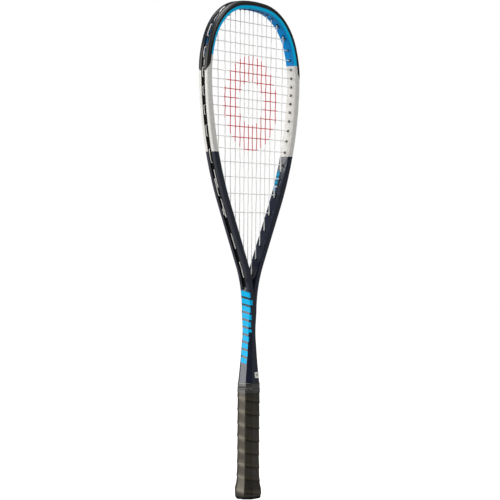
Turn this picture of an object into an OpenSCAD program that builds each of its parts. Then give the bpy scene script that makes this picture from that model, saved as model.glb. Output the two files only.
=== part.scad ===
// Squash racket, upright on its butt cap.
// +Z runs from the butt to the tip of the head, X across the head, Y through its thickness.
// The origin is the centre of the butt cap's end face. The strings lie in the plane y = 0.

/* [Head] */
// Overall length, butt to tip, over the bumper
overall_length = 686; // [670:1:690]
// Width of the hoop's tube in the plane of the strings
tube_w = 10.4; // [9.6:0.1:11.4]
// Depth of the hoop's tube, front to back
tube_d = 16.5; // [15:0.1:18]
// Radius of the tube's two outer corners
tube_corner = 3.2; // [2.6:0.1:3.8]
// Radius of the tube's two inner corners, towards the strings
inner_corner = 1.9; // [1.6:0.1:2.6]
// Wall thickness of the carbon tube
wall = 1.2; // [1:0.1:1.6]
// Width of the string groove round the outside
groove_w = 6; // [5.8:0.1:6.6]
// Depth of the string groove
groove_depth = 2.2; // [2:0.1:2.4]

/* [Bumper and grommets] */
// Thickness of the bumper over the tube
bumper_t = 0.8; // [0.7:0.1:1.4]
// Height at which the bumper's two ends stop
bumper_end_z = 583; // [580:1:590]
// Outer diameter of a grommet barrel
barrel_d = 3.2; // [2.8:0.1:3.4]
// Bore of a grommet barrel
barrel_bore = 1.8; // [1.7:0.1:1.9]

/* [Strings] */
// Diameter of the string
string_d = 1.24; // [1.1:0.01:1.3]
// Spread of the long strings towards the tip, per millimetre of height
fan = 0.00024; // [0:0.00002:0.0003]

/* [Shaft and handle] */
// Width of the slim part of the shaft
shaft_w = 15.4; // [15:0.1:16.4]
// Depth of the slim part of the shaft
shaft_d = 16.9; // [16.6:0.1:17.4]
// Width of the gripped part of the handle
grip_w = 31.2; // [30:0.1:32]
// Depth of the gripped part of the handle
grip_d = 26; // [25:0.1:27]
// Thickness of the grip tape
grip_t = 1.45; // [1.2:0.05:1.8]
// Height of the grip's upper end
grip_top = 152.5; // [144:0.5:154]

/* [Hidden] */

gap = 0.05;
bore_fn = 24;
ring_turn = 4;

// The tube's centre line, right half, from the crown to the shaft. Each row is [radius, turn or length]:
// a positive radius bends round the head, 0 is straight, and a negative radius bends the other way.
half_w = tube_w / 2;
head_turns = [[239, 6], [79.6, 63], [132.4, 23], [425, 24]];
arm_slope = head_turns[0][1] + head_turns[1][1] + head_turns[2][1] + head_turns[3][1] - 90;
throat_radius = 148;
throat_grooved_turn = 13;
crown = [0, overall_length - bumper_t - half_w];
after_head = walk(walk(walk(walk([crown[0], crown[1], 0], head_turns[0]), head_turns[1]), head_turns[2]),
                  head_turns[3]);
arm_end_x = shaft_w / 2 - half_w - gap;
arm_length = (after_head[0] - arm_end_x - throat_radius * (1 - cos(arm_slope))) / sin(arm_slope);
arm_foot = 4;
bends = concat(head_turns, [[0, arm_length], [-throat_radius, throat_grooved_turn],
                            [-throat_radius, arm_slope - throat_grooved_turn], [0, arm_foot]]);
starts = bend_starts(0, [crown[0], crown[1], 0]);
stations = [for (i = [0 : len(bends)]) station_of(i)];
side_station = stations[2] + 30;
groove_end = stations[6];
groove_runout = 1;
centreline_end = stations[8];
shaft_top = starts[7][1];
ring_stations = concat([for (i = [0 : len(bends) - 1]) each ring_stations_in(i)], [centreline_end]);

// Places across the tube, outwards from its centre line
groove_floor = half_w - groove_depth;
strip_t = 0.8;
strip_top = groove_floor + strip_t;
loop_offset = strip_top + string_d / 2 + gap;
mouth_offset = half_w + 1.2;
bend_offset = mouth_offset + 0.25;
channel_half = 2.3;
strip_half = groove_w / 2 - gap;
lip_top = half_w - 0.2;
face_wrap = 5.6;

// The string bed. Long strings are counted from the left, cross strings from the tip.
main_half = [4.5, 14.4, 23.9, 34.3, 45.3, 57.2, 72.2];
main_count = 2 * len(main_half);
fan_z = 551;
cross_count = 18;
centre_cross = 8;
centre_cross_z = 563.1;
main_weave = 0.3;
cross_weave = string_d + 0.06 - main_weave;
loop_side = 1.15;
string_sides = 6;
loop_step = 9;
knot_r = 1.7;
main_tie_z = 431;
cross_tie_x = 51.8;
cross_tie_z = 403.3;

side_strip_end_z = 453;
strip_gap_z = 0.8;

// Handle levels
bevel = 7;
shaft_bevel = 3.8;
shaft_bottom = 4;
pallet_bottom = 3.2;
cap_rim_z = 2.8;
cap_skirt_z = 22;
cap_skirt_t = 1.5;
tape_bottom = 146;
tape_top = 160;
tape_t = 0.3;
flare_bottom = 160;
flare_top = 228;
flare_power = 1.45;
shaft_straight_z = flare_top + 4;
pallet_w = grip_w - 2 * grip_t;
pallet_d = grip_d - 2 * grip_t;
shoulder = 1.2;
staple_z = 14;
staple_crown = 9;
staple_leg = 4.5;
staple_wire = 0.8;

// ---- The tube's centre line ----

function length_of(bend) = bend[0] == 0 ? bend[1] : abs(bend[0]) * bend[1] * PI / 180;
function outward(h) = [sin(h), cos(h)];
function onward(h) = [cos(h), -sin(h)];

// The pose [x, z, heading] after walking one bend from a pose
function walk(p, bend) =
    let (r = bend[0],
         h = r == 0 ? p[2] : p[2] + sign(r) * bend[1],
         at = [p[0], p[1]],
         to = r == 0 ? at + bend[1] * onward(p[2]) : at - r * outward(p[2]) + r * outward(h))
    [to[0], to[1], h];
function part_of(bend, run) = bend[0] == 0 ? [0, run] : [bend[0], run * 180 / (PI * abs(bend[0]))];
function bend_starts(i, p) = i == len(bends) ? [p] : concat([p], bend_starts(i + 1, walk(p, bends[i])));
function station_of(i) = i == 0 ? 0 : station_of(i - 1) + length_of(bends[i - 1]);
function pose(s, i = 0) =
    i == len(bends) - 1 || s <= stations[i + 1]
        ? walk(starts[i], part_of(bends[i], s - stations[i]))
        : pose(s, i + 1);

// Stations of the section rings along one bend, at most ring_turn degrees apart
function ring_stations_in(i) =
    let (steps = bends[i][0] == 0 ? 1 : ceil(bends[i][1] / ring_turn))
    [for (j = [0 : steps - 1]) stations[i] + (stations[i + 1] - stations[i]) * j / steps];
function rings_between(from, to) =
    concat([from], [for (s = ring_stations) if (s > from + 0.5 && s < to - 0.5) s], [to]);

// A point at a station, moved outwards across the tube
function beside(s, out) = let (p = pose(s)) [p[0], p[1]] + out * outward(p[2]);
function find(f, low, high, steps = 26) =
    let (middle = (low + high) / 2)
    steps == 0 ? middle : f(middle) > 0 ? find(f, middle, high, steps - 1) : find(f, low, middle, steps - 1);
function station_at_z(z, out) = find(function(s) beside(s, out)[1] - z, 0, centreline_end);

// ---- The string pattern ----

function mirror_sign(i) = i < len(main_half) ? -1 : 1;
function main_base(i) = main_half[i < len(main_half) ? len(main_half) - 1 - i : i - len(main_half)];
function main_x(i, z) = main_base(i) * (1 + fan * (z - fan_z));
function cross_gap(k) =
    let (upper = k < centre_cross, steps = k - centre_cross)
    (upper ? 11.75 : 12.04) + (upper ? 0.08 : 0.167) * pow(steps, 2);
function cross_z(k) =
    k == centre_cross ? centre_cross_z
    : k < centre_cross ? cross_z(k + 1) + cross_gap(k)
    : cross_z(k - 1) - cross_gap(k - 1);

main_top = [for (i = [0 : main_count - 1])
    find(function(s) main_x(i, beside(s, -bend_offset)[1]) - beside(s, -bend_offset)[0], 0, side_station)];
main_bottom = [for (i = [0 : main_count - 1])
    find(function(s) beside(s, -bend_offset)[0] - main_x(i, beside(s, -bend_offset)[1]), side_station,
         centreline_end)];
cross_holes = [for (k = [1 : cross_count]) station_at_z(cross_z(k), -bend_offset)];
main_tie = station_at_z(main_tie_z, -half_w);
cross_tie_high = find(function(s) cross_tie_x - beside(s, -half_w)[0], 0, side_station);
cross_tie_low = station_at_z(cross_tie_z, -half_w);
half_holes = concat([for (i = [len(main_half) : main_count - 1]) main_top[i]],
                    cross_holes,
                    [for (i = [len(main_half) : main_count - 1]) main_bottom[i]]);

bumper_end = station_at_z(bumper_end_z, 0);
side_strip_start = station_at_z(bumper_end_z - strip_gap_z, 0);
side_strip_end = station_at_z(side_strip_end_z, 0);
throat_strip_start = station_at_z(side_strip_end_z - strip_gap_z, 0);
throat_strip_end = groove_end - 1;

function woven(i, k) =
    let (z = cross_z(k), clear = 1.5)
    z < beside(main_top[i], -bend_offset)[1] - clear && z > beside(main_bottom[i], -bend_offset)[1] + clear;
function weave_sign(i, k) = (i + k) % 2 == 0 ? 1 : -1;

// Points of a string: side is -1 on the left and 1 on the right, y is the depth
function at_tube(side, s, out, y) = let (p = beside(s, out)) [side * p[0], y, p[1]];
function through_hole(side, s) = [at_tube(side, s, -bend_offset, 0), at_tube(side, s, strip_top - 0.4, 0)];
function backwards(list) = [for (i = [len(list) - 1 : -1 : 0]) list[i]];

// A loop in the groove from one hole to another, along one side of the channel
function loop_between(side, a, b, y) =
    let (turn = sign(b - a) * 0.9,
         steps = max(1, ceil(abs(b - a) / loop_step)))
    concat([for (j = [0 : steps])
        let (s = (a + turn) + (b - a - 2 * turn) * j / steps) at_tube(side, s, loop_offset, y)]);

// The loop over the crown, between the two middle long strings
function crown_loop(s, y) = concat(backwards(loop_between(-1, 0.9, s, y)), loop_between(1, 0.9, s, y));

function main_run(i) =
    let (side = mirror_sign(i))
    concat(backwards(through_hole(side, main_bottom[i])),
           [for (k = [cross_count : -1 : 1]) if (woven(i, k))
               [side * main_x(i, cross_z(k)), main_weave * weave_sign(i, k), cross_z(k)]],
           through_hole(side, main_top[i]));
function main_link(i) =
    let (y = -loop_side)
    i % 2 == 1 ? loop_between(mirror_sign(i), main_bottom[i], main_bottom[i + 1], y)
    : i == len(main_half) - 1 ? crown_loop(main_top[i], y)
    : loop_between(mirror_sign(i), main_top[i], main_top[i + 1], y);
function tie_run(side, tie) =
    [at_tube(side, tie, -mouth_offset - 2 * knot_r, 0), at_tube(side, tie, strip_top - 0.4, 0)];
function main_end(side, s) = concat(tie_run(side, main_tie), loop_between(side, main_tie, s, -loop_side));
main_path = concat(
    main_end(-1, main_bottom[0]),
    [for (i = [0 : main_count - 1])
        let (run = i % 2 == 0 ? main_run(i) : backwards(main_run(i)),
             link = i < main_count - 1 ? main_link(i) : [])
        each concat(run, link)],
    backwards(main_end(1, main_bottom[main_count - 1])));

function cross_run(k) =
    let (s = cross_holes[k - 1])
    concat(backwards(through_hole(-1, s)),
           [for (i = [0 : main_count - 1]) if (woven(i, k))
               [mirror_sign(i) * main_x(i, cross_z(k)), -cross_weave * weave_sign(i, k), cross_z(k)]],
           through_hole(1, s));
function cross_link(k) =
    loop_between(k % 2 == 1 ? 1 : -1, cross_holes[k - 1], cross_holes[k], loop_side);
function cross_end(tie, s) = concat(tie_run(-1, tie), loop_between(-1, tie, s, loop_side));
cross_path = concat(
    cross_end(cross_tie_high, cross_holes[0]),
    [for (k = [1 : cross_count])
        let (run = k % 2 == 1 ? cross_run(k) : backwards(cross_run(k)),
             link = k < cross_count ? cross_link(k) : [])
        each concat(run, link)],
    backwards(cross_end(cross_tie_low, cross_holes[cross_count - 1])));

// ---- Solids from rings of points ----

function unit(v) = v / norm(v);
function string_ring(path, i, r) =
    let (last = len(path) - 1,
         along = unit(path[min(last, i + 1)] - path[max(0, i - 1)]),
         across = unit(cross(along, [0, 1, 0])),
         up = cross(across, along))
    [for (j = [0 : string_sides - 1])
        let (a = 360 * (j + 0.5) / string_sides) path[i] + r * (cos(a) * across + sin(a) * up)];

// caps lists the faces that close the first ring, where one flat face won't do
module skin(rings, caps = undef) {
    sides = len(rings[0]);
    last = len(rings) - 1;
    points = [for (ring = rings) each ring];
    walls = [for (i = [0 : last - 1], j = [0 : sides - 1])
        let (a = i * sides + j, b = i * sides + (j + 1) % sides)
        each [[a, b, a + sides], [b, b + sides, a + sides]]];
    cap = caps == undef ? [[for (j = [0 : sides - 1]) j]] : caps;
    near = [for (face = cap) backwards(face)];
    far = [for (face = cap) [for (j = face) last * sides + j]];
    polyhedron(points, concat(walls, near, far), convexity = 10);
}

// An eight-sided outline with bevelled corners at one height: level is [z, width, depth, bevel]
function octagon(level, grow = 0) =
    let (w = level[1] / 2 + grow, d = level[2] / 2 + grow, b = level[3], z = level[0])
    [[w - b, -d, z], [b - w, -d, z], [-w, b - d, z], [-w, d - b, z],
     [b - w, d, z], [w - b, d, z], [w, d - b, z], [w, b - d, z]];

module octagon_tower(levels, grow = 0) {
    skin([for (level = levels) octagon(level, grow)]);
}

// ---- Solids along the tube ----

// Stands a child on the tube at a station: its +Z points outwards, its origin is on the centre line
module stand_at(s) {
    p = pose(s);
    translate([p[0], 0, p[1]])
        rotate([0, p[2], 0])
            children();
}

module both_halves() {
    children();
    mirror([1, 0, 0])
        children();
}

// Outline across the tube, as [outwards, y] points: a box with outer corners of radius r, inner corners of q
function rounded_box(w, d, r, q) =
    let (trim = 1 - sqrt(0.5), c = r * trim, e = q * trim, x = w / 2, y = d / 2)
    [[x - r, -y], [x - c, c - y], [x, r - y], [x, y - r], [x - c, y - c], [x - r, y],
     [q - x, y], [e - x, y - e], [-x, y - q], [-x, q - y], [e - x, e - y], [q - x, -y]];
function moved(outline, x) = [for (q = outline) q + [x, 0]];
function ring_at(side, s, outline) = [for (q = outline) at_tube(side, s, q[0], q[1])];

// Rings from one side's station over the crown to the other side's
function over_crown(end, outline) =
    let (list = rings_between(0, end))
    concat([for (s = backwards(list)) ring_at(-1, s, outline)],
           [for (i = [1 : len(list) - 1]) ring_at(1, list[i], outline)]);

// The tube's outline with its string groove; share is 1 at full depth and 0 where the groove has run out
function grooved_outline(share) =
    let (box = rounded_box(tube_w, tube_d, tube_corner, inner_corner),
         side = groove_w / 2,
         floor_side = side - (1 - share) * groove_runout / 2,
         floor_x = half_w - share * groove_depth)
    concat([for (i = [0 : 2]) box[i]],
           [[half_w, -side], [floor_x, -floor_side], [floor_x, floor_side], [half_w, side]],
           [for (i = [3 : len(box) - 1]) box[i]]);
tube_caps = [[13, 4, 5, 12], [12, 5, 6, 7, 8, 9, 10, 11], [13, 14, 15, 0, 1, 2, 3, 4]];

module drilled(holes, d, low, high) {
    for (s = holes)
        stand_at(s)
            translate([0, 0, low])
                cylinder(h = high - low, d = d, $fn = bore_fn);
}

// ---- Frame ----

shaft_levels = [
    [shaft_bottom, shaft_w, shaft_d, shaft_bevel],
    [shaft_straight_z, shaft_w, shaft_d, shaft_bevel],
    [shaft_top, shaft_w, tube_d + 0.1, 1.9]];
shaft_bore = [
    [shaft_bottom - 1, shaft_w - 2 * wall, shaft_d - 2 * wall, shaft_bevel - 1],
    [shaft_top - 2 * arm_foot, shaft_w - 2 * wall, shaft_d - 2 * wall, shaft_bevel - 1]];

module tube_half() {
    skin(concat([for (s = rings_between(0, groove_end)) ring_at(1, s, grooved_outline(1))],
                [for (s = rings_between(groove_end + groove_runout, centreline_end))
                    ring_at(1, s, grooved_outline(0))]),
         tube_caps);
}

module tube_cavity() {
    cavity_w = tube_w - 2 * wall - groove_depth;
    corner = inner_corner - wall;
    outline = moved(rounded_box(cavity_w, tube_d - 2 * wall, corner, corner), -groove_depth / 2);
    skin(over_crown(groove_end - 4, outline));
}

module string_holes() {
    hole_d = barrel_d + 0.2;
    both_halves()
        drilled(concat(half_holes, [main_tie]), hole_d, -half_w - 1, half_w);
    mirror([1, 0, 0])
        drilled([cross_tie_high, cross_tie_low], hole_d, -half_w - 1, half_w);
}

module frame() {
    color("midnightblue")
        difference() {
            union() {
                both_halves()
                    tube_half();
                octagon_tower(shaft_levels);
            }
            octagon_tower(shaft_bore);
            tube_cavity();
            string_holes();
        }
}

// ---- Bumper and grommet strips ----

// Half of the bumper's outline, from the edge of its flange to the string channel, outside then inside
function bumper_half(side) =
    let (outer_r = tube_corner + bumper_t,
         outer = rounded_box(tube_w + 2 * bumper_t, tube_d + 2 * bumper_t, outer_r, outer_r),
         inner = rounded_box(tube_w + 2 * gap, tube_d + 2 * gap, tube_corner, tube_corner),
         edge = half_w - face_wrap)
    [[edge, side * (tube_d / 2 + bumper_t)],
     for (i = [3 : 5]) [outer[8 - i][0], side * abs(outer[8 - i][1])],
     [half_w + bumper_t, side * channel_half],
     [strip_top, side * channel_half],
     [groove_floor + gap, side * strip_half],
     [half_w + gap, side * strip_half],
     for (i = [3 : 5]) [inner[i][0], side * abs(inner[i][1])],
     [edge, side * (tube_d / 2 + gap)]];
bumper_edge = len(bumper_half(1)) / 2;
bumper_outline = concat([for (i = [0 : bumper_edge - 1]) bumper_half(-1)[i]],
                        [for (i = [bumper_edge - 1 : -1 : 0]) bumper_half(1)[i]],
                        [for (i = [2 * bumper_edge - 1 : -1 : bumper_edge]) bumper_half(1)[i]],
                        [for (i = [bumper_edge : 2 * bumper_edge - 1]) bumper_half(-1)[i]]);
bumper_caps = [for (i = [0 : 2 * bumper_edge - 2])
    [i, i + 1, 4 * bumper_edge - 2 - i, 4 * bumper_edge - 1 - i]];

strip_base = groove_floor + gap;
strip_outline = [
    [strip_base, -strip_half], [lip_top, -strip_half], [lip_top, -channel_half], [strip_top, -channel_half],
    [strip_top, channel_half], [lip_top, channel_half], [lip_top, strip_half], [strip_base, strip_half]];
strip_caps = [[0, 1, 2, 3], [0, 3, 4, 7], [4, 5, 6, 7]];

function holes_between(from, to) = [for (s = half_holes) if (s > from && s < to) s];

module barrel_holes(from, to) {
    drilled(holes_between(from, to), barrel_bore, -mouth_offset - 1, strip_top + 1);
}

module barrels(from, to) {
    drilled(holes_between(from, to), barrel_d, -mouth_offset, strip_top - 0.1);
}

// A length of strip on the right half with its barrels
module strip(from, to) {
    difference() {
        union() {
            skin([for (s = rings_between(from, to)) ring_at(1, s, strip_outline)], strip_caps);
            barrels(from, to);
        }
        barrel_holes(from, to);
        drilled([main_tie, cross_tie_low], barrel_d + 0.2, groove_floor - 1, strip_top + 1);
    }
}

module bumper_guard() {
    color("dimgray")
        difference() {
            union() {
                skin(over_crown(bumper_end, bumper_outline), bumper_caps);
                both_halves()
                    barrels(-1, bumper_end);
            }
            both_halves()
                barrel_holes(-1, bumper_end);
            mirror([1, 0, 0])
                drilled([cross_tie_high], barrel_d + 0.2, groove_floor - 1, strip_top + 1);
        }
}

module side_grommets() {
    color("black")
        strip(side_strip_start, side_strip_end);
}

module throat_grommets() {
    color("black")
        strip(throat_strip_start, throat_strip_end);
}

module tie_off_grommet(s) {
    difference() {
        drilled([s], barrel_d, -mouth_offset, strip_top);
        drilled([s], barrel_bore, -mouth_offset - 1, strip_top + 1);
    }
}

module tie_off_grommets() {
    color("black") {
        both_halves()
            tie_off_grommet(main_tie);
        mirror([1, 0, 0])
            tie_off_grommet(cross_tie_high);
        mirror([1, 0, 0])
            tie_off_grommet(cross_tie_low);
    }
}

// ---- Strings ----

module knot(side, s) {
    p = at_tube(side, s, -mouth_offset - knot_r - 0.2, 0);
    translate(p)
        sphere(knot_r, $fn = bore_fn);
}

module string_along(path) {
    skin([for (i = [0 : len(path) - 1]) string_ring(path, i, string_d / 2)]);
}

module main_string() {
    color("ivory") {
        string_along(main_path);
        knot(-1, main_tie);
        knot(1, main_tie);
    }
}

module cross_string() {
    color("ivory") {
        string_along(cross_path);
        knot(-1, cross_tie_high);
        knot(-1, cross_tie_low);
    }
}

// ---- Handle ----

flare_lip = 0.8;
pallet_levels = [
    [pallet_bottom, pallet_w - 2 * cap_skirt_t, pallet_d - 2 * cap_skirt_t, bevel - 2],
    [cap_skirt_z, pallet_w - 2 * cap_skirt_t, pallet_d - 2 * cap_skirt_t, bevel - 2],
    [cap_skirt_z, pallet_w, pallet_d, bevel - 1],
    [grip_top + 0.1, pallet_w, pallet_d, bevel - 1],
    [grip_top + 0.1, pallet_w + shoulder, pallet_d + shoulder, bevel - 1],
    [flare_bottom, pallet_w + shoulder, pallet_d + shoulder, bevel - 1],
    for (t = [0.125 : 0.125 : 1])
        let (ease = pow(1 - t, flare_power))
        [flare_bottom + t * (flare_top - flare_bottom),
         shaft_w + flare_lip + ease * (pallet_w + shoulder - shaft_w - flare_lip),
         shaft_d + flare_lip + ease * (pallet_d + shoulder - shaft_d - flare_lip),
         shaft_bevel + 0.3 + ease * (bevel - 1.3 - shaft_bevel)]];

module pallet_half(side) {
    color("midnightblue")
        difference() {
            octagon_tower(pallet_levels);
            translate([0, 0, -1])
                octagon_tower([shaft_levels[0], shaft_levels[1]], gap);
            translate([-grip_w, side > 0 ? -grip_d - gap / 2 : gap / 2 - grip_d, 0])
                translate([0, side > 0 ? gap : grip_d - gap, -1])
                    cube([2 * grip_w, grip_d, flare_top + 20]);
            staples(gap);
        }
}

cap_levels = [
    [0, grip_w + 1, grip_d + 1, bevel + 0.4],
    [0.8, grip_w + 2.8, grip_d + 2.8, bevel + 0.9],
    [1.8, grip_w + 3.8, grip_d + 3.8, bevel + 1.1],
    [cap_rim_z, grip_w + 4.4, grip_d + 4.4, bevel + 1.2],
    [cap_rim_z, grip_w + 1.6, grip_d + 1.6, bevel + 0.6],
    [9, grip_w + 2.2, grip_d + 2.2, bevel + 0.7],
    [14, grip_w, grip_d, bevel + 0.2],
    [cap_skirt_z - 0.1, pallet_w, pallet_d, bevel - 1]];

module butt_cap() {
    color("black")
        difference() {
            octagon_tower(cap_levels);
            octagon_tower([[pallet_bottom - 0.1, pallet_levels[0][1], pallet_levels[0][2], bevel - 2],
                           [cap_skirt_z + 1, pallet_levels[0][1], pallet_levels[0][2], bevel - 2]], gap);
            staples(gap);
        }
}

module staple(grow) {
    reach = grip_w / 2 - 0.2;
    wire = staple_wire + 2 * grow;
    translate([reach - wire / 2, 0, staple_z])
        cube([wire, staple_crown + 2 * grow, wire], center = true);
    for (y = [-1, 1])
        translate([reach - staple_leg / 2 - wire / 2, y * (staple_crown - staple_wire) / 2, staple_z])
            cube([staple_leg, wire, wire], center = true);
}

module staples(grow) {
    both_halves()
        staple(grow);
}

module butt_cap_staples() {
    color("silver")
        staples(0);
}

grip_levels = [
    [cap_rim_z + 0.1, grip_w + 4.6, grip_d + 4.6, bevel + 1.2],
    [4.5, grip_w + 5.2, grip_d + 5.2, bevel + 1.4],
    [7.5, grip_w + 5.5, grip_d + 5.5, bevel + 1.5],
    [11, grip_w + 5.6, grip_d + 5.6, bevel + 1.5],
    [15, grip_w + 4.9, grip_d + 4.9, bevel + 1.3],
    [20, grip_w + 3.1, grip_d + 3.1, bevel + 0.9],
    [27, grip_w + 1.4, grip_d + 1.4, bevel + 0.4],
    [40, grip_w + 0.5, grip_d + 0.5, bevel + 0.1],
    [56, grip_w, grip_d, bevel],
    [tape_bottom - 1, grip_w, grip_d, bevel],
    [tape_bottom - 0.5, grip_w - 0.5, grip_d - 0.5, bevel],
    [grip_top, grip_w - 0.5, grip_d - 0.5, bevel]];

module grip() {
    bore = [
        cap_levels[4],
        cap_levels[5],
        cap_levels[6],
        cap_levels[7],
        [grip_top + 1, pallet_w, pallet_d, bevel - 1]];
    color([0.14, 0.13, 0.12])
        difference() {
            octagon_tower(grip_levels);
            octagon_tower(bore, gap);
        }
}

// The levels at heights a to d round the grip's end, then round the painted shoulder above it
function tape_levels(a, b, c, d) =
    let (on_grip = [grip_w - 0.5, grip_d - 0.5, bevel],
         on_paint = [pallet_w + shoulder, pallet_d + shoulder, bevel - 1])
    [concat([a], on_grip), concat([b], on_grip), concat([c], on_paint), concat([d], on_paint)];

module finishing_tape() {
    color([0.08, 0.08, 0.08])
        difference() {
            octagon_tower(tape_levels(tape_bottom, grip_top + 0.6, grip_top + 1, tape_top - 0.1),
                          tape_t + gap);
            octagon_tower(tape_levels(tape_bottom - 1, grip_top + 0.1, grip_top + 0.1, tape_top + 1), gap);
        }
}

module handle_label() {
    label_z = 170.5;
    label_x = 3.2;
    label = [9, 0.3, 8.2];
    t = (label_z - flare_bottom) / (flare_top - flare_bottom);
    rise = (pallet_d + shoulder - shaft_d - flare_lip) / 2;
    slope = flare_power * pow(1 - t, flare_power - 1);
    depth = (shaft_d + flare_lip) / 2 + rise * pow(1 - t, flare_power);
    color("whitesmoke")
        translate([label_x, -depth - 0.4, label_z])
            rotate([-atan(slope * rise / (flare_top - flare_bottom)), 0, 0])
                cube(label, center = true);
}

frame();
bumper_guard();
mirror([1, 0, 0]) side_grommets();  // side_grommets_left
side_grommets();  // side_grommets_right
mirror([1, 0, 0]) throat_grommets();  // throat_grommets_left
throat_grommets();  // throat_grommets_right
tie_off_grommets();
main_string();
cross_string();
pallet_half(-1);  // pallet_front
pallet_half(1);  // pallet_back
butt_cap();
butt_cap_staples();
grip();
finishing_tape();
handle_label();
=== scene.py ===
import math

import bmesh
import bpy
import numpy as np
from mathutils import Matrix, Vector


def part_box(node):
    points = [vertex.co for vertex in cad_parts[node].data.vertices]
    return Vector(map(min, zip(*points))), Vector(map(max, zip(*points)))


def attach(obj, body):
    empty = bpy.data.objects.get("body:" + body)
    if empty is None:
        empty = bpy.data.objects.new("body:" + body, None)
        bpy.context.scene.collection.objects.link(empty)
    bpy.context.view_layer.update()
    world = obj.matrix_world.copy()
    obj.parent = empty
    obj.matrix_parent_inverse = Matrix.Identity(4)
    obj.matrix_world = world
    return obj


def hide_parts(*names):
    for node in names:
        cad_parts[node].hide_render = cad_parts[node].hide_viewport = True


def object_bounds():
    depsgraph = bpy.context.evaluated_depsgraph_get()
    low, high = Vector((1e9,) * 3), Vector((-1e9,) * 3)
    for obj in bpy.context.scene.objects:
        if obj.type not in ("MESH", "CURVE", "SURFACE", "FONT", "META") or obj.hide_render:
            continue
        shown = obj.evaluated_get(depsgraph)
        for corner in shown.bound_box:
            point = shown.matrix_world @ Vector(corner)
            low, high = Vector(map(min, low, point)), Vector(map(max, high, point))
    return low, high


# Squash racket. Shapes are worked out in millimetres in the CAD frame and written in metres:
# +Z from the butt to the tip, X across the head, Y through its thickness, strings at y = 0.
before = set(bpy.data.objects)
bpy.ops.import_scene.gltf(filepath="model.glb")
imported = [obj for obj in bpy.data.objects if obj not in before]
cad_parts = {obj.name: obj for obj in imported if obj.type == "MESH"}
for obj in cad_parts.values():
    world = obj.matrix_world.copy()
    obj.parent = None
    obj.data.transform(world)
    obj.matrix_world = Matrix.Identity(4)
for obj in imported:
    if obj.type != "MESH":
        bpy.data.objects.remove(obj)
cad_low, cad_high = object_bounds()
ROOT = "root"
MM = 0.001

# ---- Driving sizes, in millimetres, as in the CAD model ----

LENGTH = cad_high.z / MM
TUBE_W, TUBE_D, TUBE_CORNER, INNER_CORNER = 10.4, 16.5, 3.2, 1.9
HALF_W, HALF_D = TUBE_W / 2, TUBE_D / 2
GROOVE_HALF, GROOVE_DEPTH, GROOVE_FADE = 3.0, 2.2, 4
STATION_STEP = 2.2
GROOVE_FLOOR = HALF_W - GROOVE_DEPTH
BUMPER_T, BUMPER_END_Z = 0.8, 583.0
BARREL_R, BORE_R, HOLE_R = 1.6, 0.9, 1.7
STRING_R = 0.62
GAP = 0.05
SHAFT_W, SHAFT_D, SHAFT_BEVEL = 15.4, 16.9, 3.8
GRIP_W, GRIP_D, GRIP_T = 31.2, 26.0, 1.45
GRIP_TOP = 152.5
BEVEL = 7.0
PALLET_W, PALLET_D = GRIP_W - 2 * GRIP_T, GRIP_D - 2 * GRIP_T
SHOULDER = 1.2
TAPE_BOTTOM, TAPE_TOP = 146.0, 160.0
FLARE_BOTTOM, FLARE_TOP, FLARE_POWER, FLARE_LIP = 160.0, 228.0, 1.45, 0.8
SHAFT_STRAIGHT_Z = FLARE_TOP + 4
CAP_RIM_Z = 2.8
STRIP_T = 0.8
STRIP_TOP = GROOVE_FLOOR + STRIP_T
LOOP_OFFSET = STRIP_TOP + STRING_R + GAP
BARREL_PROUD = 1.2
MOUTH = HALF_W + BARREL_PROUD
BEND = MOUTH + 0.25
CHANNEL_HALF = 2.3
STRIP_HALF = GROOVE_HALF - GAP
LIP_TOP = HALF_W - 0.2
FACE_WRAP = 5.6
LOOP_SIDE = 1.15
GRIP_PITCH, SEAM_PHASE, COLUMNS = 18.1, 0.968, 116
GRIP_LOW, GRIP_HIGH = CAP_RIM_Z + 0.1, TAPE_BOTTOM + 2.5
PINHOLE_PITCH = 2.6
END_ZONE, END_CUT = 22.0, 12.0
SLIT_Y, SLIT_HALF = 3.75, 0.5
STRIP_SPLIT_Z, STRIP_GAP = 453.0, 0.8

# ---- The tube's centre line, right half, from the crown down to the shaft ----

HEAD_TURNS = [(239, 6), (79.6, 63), (132.4, 23), (425, 24)]
ARM_SLOPE = sum(turn for _, turn in HEAD_TURNS) - 90
THROAT_RADIUS, GROOVED_TURN, ARM_FOOT = 148, 13, 4


def outward(h):
    """The way out of the hoop, in (x, z), where the line runs at angle h."""
    return np.array([math.sin(math.radians(h)), math.cos(math.radians(h))])


def onward(h):
    """The direction along the line at angle h."""
    return np.array([math.cos(math.radians(h)), -math.sin(math.radians(h))])


def walk(p, bend):
    """The (x, z, angle) after one bend: (radius, degrees), or (0, length) for a straight."""
    at, h, (r, run) = np.array(p[:2]), p[2], bend
    if r == 0:
        to = at + run * onward(h)
    else:
        turned = h + math.copysign(run, r)
        to = at - r * outward(h) + r * outward(turned)
        h = turned
    return (to[0], to[1], h)


CROWN = (0.0, LENGTH - BUMPER_T - HALF_W, 0.0)
after_head = CROWN
for turn in HEAD_TURNS:
    after_head = walk(after_head, turn)
ARM_END_X = SHAFT_W / 2 - HALF_W - GAP
ARM_LENGTH = (after_head[0] - ARM_END_X - THROAT_RADIUS * (1 - math.cos(math.radians(ARM_SLOPE)))) \
    / math.sin(math.radians(ARM_SLOPE))
BENDS = HEAD_TURNS + [(0, ARM_LENGTH), (-THROAT_RADIUS, GROOVED_TURN),
                      (-THROAT_RADIUS, ARM_SLOPE - GROOVED_TURN), (0, ARM_FOOT)]
STARTS, STATIONS = [CROWN], [0.0]
for bend in BENDS:
    STARTS.append(walk(STARTS[-1], bend))
    STATIONS.append(STATIONS[-1] + (bend[1] if bend[0] == 0 else abs(bend[0]) * math.radians(bend[1])))
SIDE_STATION = STATIONS[2] + 30
GROOVE_END, LINE_END = STATIONS[6], STATIONS[8]
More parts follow.
